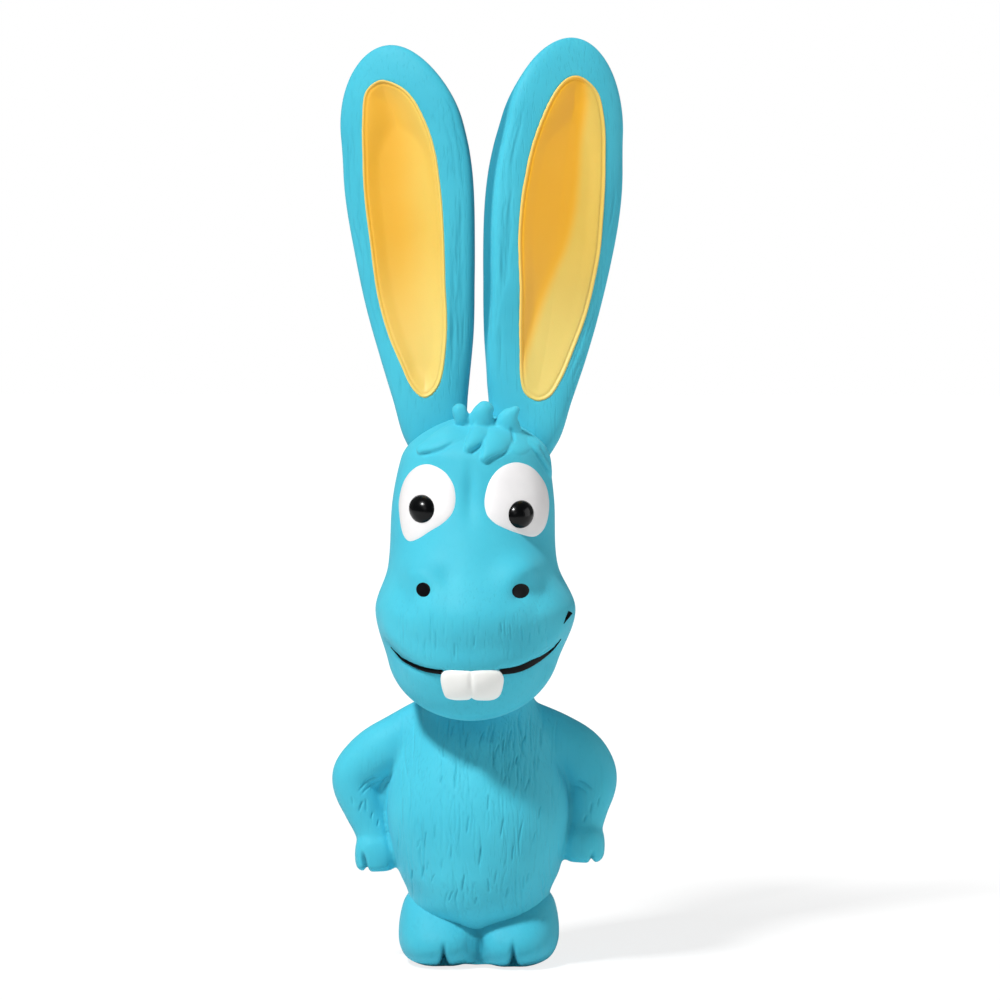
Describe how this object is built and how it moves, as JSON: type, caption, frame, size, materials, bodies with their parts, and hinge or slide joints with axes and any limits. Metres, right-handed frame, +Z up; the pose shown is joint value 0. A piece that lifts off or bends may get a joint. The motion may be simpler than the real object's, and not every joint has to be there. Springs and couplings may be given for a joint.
{
  "type": "squeaky dog toy",
  "caption": "Soft latex long-eared animal figure for a dog to bite: the belly presses in to sound a reed squeaker in the base, the head turns and the ears bend.",
  "frame": {"origin": "middle of the foot of the bounding box, on the ground the toy stands on", "axes": "+Z up through the ears, +X to the toy's own left, +Y to its back, so that it faces -Y"},
  "size_m": [0.0868, 0.07, 0.278],
  "materials": {
    "latex_blue": "matt",
    "latex_yellow": "matt",
    "paint_white": "satin",
    "tooth_white": "satin",
    "paint_black": "gloss",
    "fibre": "matt",
    "squeaker_plastic": "satin",
    "reed_film": "gloss"
  },
  "bodies": {
    "torso": {"torso_shell": "latex_blue", "body_fill": "fibre", "left_arm": "latex_blue", "right_arm": "latex_blue", "left_foot": "latex_blue", "right_foot": "latex_blue", "squeaker_housing": "squeaker_plastic", "squeaker_lid": "squeaker_plastic", "reed_tube": "squeaker_plastic", "reed_clamp": "squeaker_plastic"},
    "belly": {"belly_panel": "latex_blue"},
    "head": {"head_shell": "latex_blue", "head_fill": "fibre", "left_eye": "paint_white", "right_eye": "paint_white", "left_pupil": "paint_black", "right_pupil": "paint_black", "left_nostril": "paint_black", "right_nostril": "paint_black", "left_mouth_line": "paint_black", "right_mouth_line": "paint_black", "left_tooth": "tooth_white", "right_tooth": "tooth_white", "tuft_left": "latex_blue", "tuft_middle": "latex_blue", "tuft_right": "latex_blue", "lock_outer_left": "latex_blue", "lock_inner_left": "latex_blue", "lock_inner_right": "latex_blue", "lock_outer_right": "latex_blue"},
    "left_ear": {"left_ear": "latex_blue", "left_ear_lining": "latex_yellow"},
    "right_ear": {"right_ear": "latex_blue", "right_ear_lining": "latex_yellow"},
    "reed": {"reed": "reed_film"}
  },
  "joints": [
    {"name": "belly_press", "type": "slide", "parent": "torso", "child": "belly", "axis": [0, 1, 0], "range_m": [0, 0.008], "stiffness_N_per_m": 600, "deforming": ["body_fill"]},
    {"name": "head_turn", "type": "hinge", "parent": "torso", "child": "head", "pos_m": [0, 0.00903, 0.078], "axis": [0, 0, 1], "range_deg": [-30, 30], "stiffness_Nm_per_rad": 0.2},
    {"name": "left_ear_bend", "type": "hinge", "parent": "head", "child": "left_ear", "pos_m": [0.0142, 0.01403, 0.1585], "axis": [1, 0, 0], "range_deg": [-40, 25], "stiffness_Nm_per_rad": 0.08},
    {"name": "right_ear_bend", "type": "hinge", "parent": "head", "child": "right_ear", "pos_m": [-0.0142, 0.01403, 0.1585], "axis": [1, 0, 0], "range_deg": [-40, 25], "stiffness_Nm_per_rad": 0.08},
    {"name": "reed_flutter", "type": "hinge", "parent": "torso", "child": "reed", "pos_m": [0, 0.00973, 0.00525], "axis": [1, 0, 0], "range_deg": [-2, 4], "stiffness_Nm_per_rad": 0.001}
  ]
}
